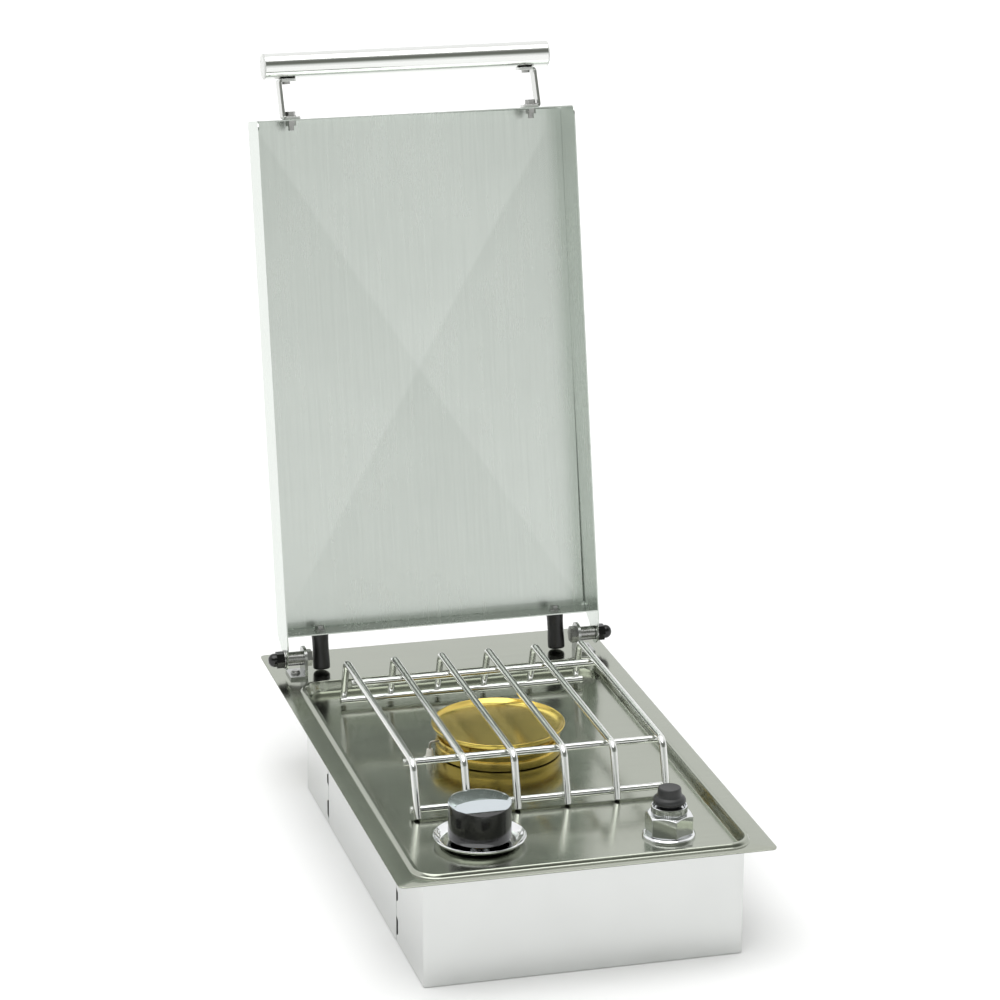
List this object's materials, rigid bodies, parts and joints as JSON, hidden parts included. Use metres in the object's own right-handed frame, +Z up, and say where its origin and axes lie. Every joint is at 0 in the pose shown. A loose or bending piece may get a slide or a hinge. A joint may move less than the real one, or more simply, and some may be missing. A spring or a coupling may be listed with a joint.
{
  "type": "built-in gas side burner",
  "caption": "Drop-in gas hot plate burner with wire grate, control knob, push igniter and a hinged folding lid with a tube handle.",
  "frame": {"origin": "centre of the mounting flange's rectangle in plan, on the underside of the housing", "axes": "+Z up, +Y from the knob and igniter at the front to the lid's hinges at the rear, +X to the right as seen from the front; the lid is open at rest"},
  "size_m": [0.3132, 0.6089, 0.6209],
  "materials": {
    "pan_steel": "satin",
    "housing_steel": "satin",
    "galvanised_steel": "satin",
    "burner_brass": "satin",
    "cast_bowl": "satin",
    "tube_iron": "matte",
    "valve_brass": "satin",
    "pipe_aluminium": "satin",
    "ceramic_white": "glossy",
    "electrode_steel": "satin",
    "lead_rubber": "matte",
    "igniter_chrome": "polished",
    "black_plastic": "matte",
    "spring_steel": "satin",
    "button_rubber": "matte",
    "bezel_chrome": "polished",
    "stem_steel": "satin",
    "knob_black": "glossy",
    "knob_chrome": "polished",
    "grate_chrome": "polished",
    "hinge_steel": "satin",
    "bolt_steel": "satin",
    "nut_dark": "glossy",
    "lid_steel": "brushed",
    "handle_chrome": "polished",
    "cap_plastic": "glossy",
    "strap_steel": "satin",
    "bumper_rubber": "matte"
  },
  "bodies": {
    "base": {"deck_pan": "pan_steel", "front_panel": "housing_steel", "rear_panel": "housing_steel", "side_panel_left": "housing_steel", "side_panel_right": "housing_steel", "seam_clips": "galvanised_steel", "base_plate": "housing_steel", "burner_bowl": "cast_bowl", "burner_cap": "burner_brass", "mixer_tube": "tube_iron", "air_shutter": "galvanised_steel", "orifice_nozzle": "valve_brass", "valve_body": "valve_brass", "gas_pipe": "pipe_aluminium", "inlet_fitting": "valve_brass", "electrode_insulator": "ceramic_white", "electrode_wire": "electrode_steel", "spark_lead": "lead_rubber", "igniter_washer": "igniter_chrome", "igniter_nut": "igniter_chrome", "igniter_ring": "igniter_chrome", "igniter_body": "black_plastic", "igniter_spring": "spring_steel", "knob_bezel": "bezel_chrome", "valve_spring": "spring_steel", "hinge_bracket_left": "hinge_steel", "hinge_bracket_right": "hinge_steel", "hinge_screws": "bolt_steel", "hinge_bolts": "bolt_steel", "hinge_spacers": "bolt_steel", "hinge_washers": "bolt_steel", "hinge_acorn_nuts": "nut_dark"},
    "lid": {"lid_shell": "lid_steel", "handle_tube": "handle_chrome", "handle_caps": "cap_plastic", "handle_strap_left": "strap_steel", "handle_strap_right": "strap_steel", "handle_bolts": "bolt_steel", "handle_nuts": "bolt_steel", "handle_screws": "bolt_steel", "bumper_left": "bumper_rubber", "bumper_right": "bumper_rubber", "bumper_screws": "bolt_steel"},
    "knob_push": {"valve_collar": "stem_steel"},
    "knob": {"valve_stem": "stem_steel", "knob_body": "knob_black", "knob_cap": "knob_chrome"},
    "button": {"igniter_button": "button_rubber"},
    "grate": {"grate_bar_1": "grate_chrome", "grate_bar_2": "grate_chrome", "grate_bar_3": "grate_chrome", "grate_bar_4": "grate_chrome", "grate_bar_5": "grate_chrome", "grate_bar_6": "grate_chrome", "grate_cross_front_top": "grate_chrome", "grate_cross_rear_top": "grate_chrome", "grate_cross_front_low": "grate_chrome", "grate_cross_rear_low": "grate_chrome"}
  },
  "joints": [
    {"name": "lid_hinge", "type": "hinge", "parent": "base", "child": "lid", "pos_m": [0, 0.2065, 0.1085], "axis": [-1, 0, 0], "range_deg": [-102.1, 0]},
    {"name": "knob_press", "type": "slide", "parent": "base", "child": "knob_push", "axis": [0, 0, -1], "range_m": [0, 0.003], "stiffness_N_per_m": 800, "springref_m": -0.002, "deforming": ["valve_spring"]},
    {"name": "knob_turn", "type": "hinge", "parent": "knob_push", "child": "knob", "pos_m": [-0.0669, -0.18, 0.0875], "axis": [0, 0, 1], "range_deg": [0, 250]},
    {"name": "igniter_press", "type": "slide", "parent": "base", "child": "button", "axis": [0, 0, -1], "range_m": [0, 0.005], "stiffness_N_per_m": 600, "springref_m": -0.002, "deforming": ["igniter_spring"]},
    {"name": "grate_lift", "type": "slide", "parent": "base", "child": "grate", "axis": [0, 0, 1], "range_m": [0, 0.12]}
  ]
}
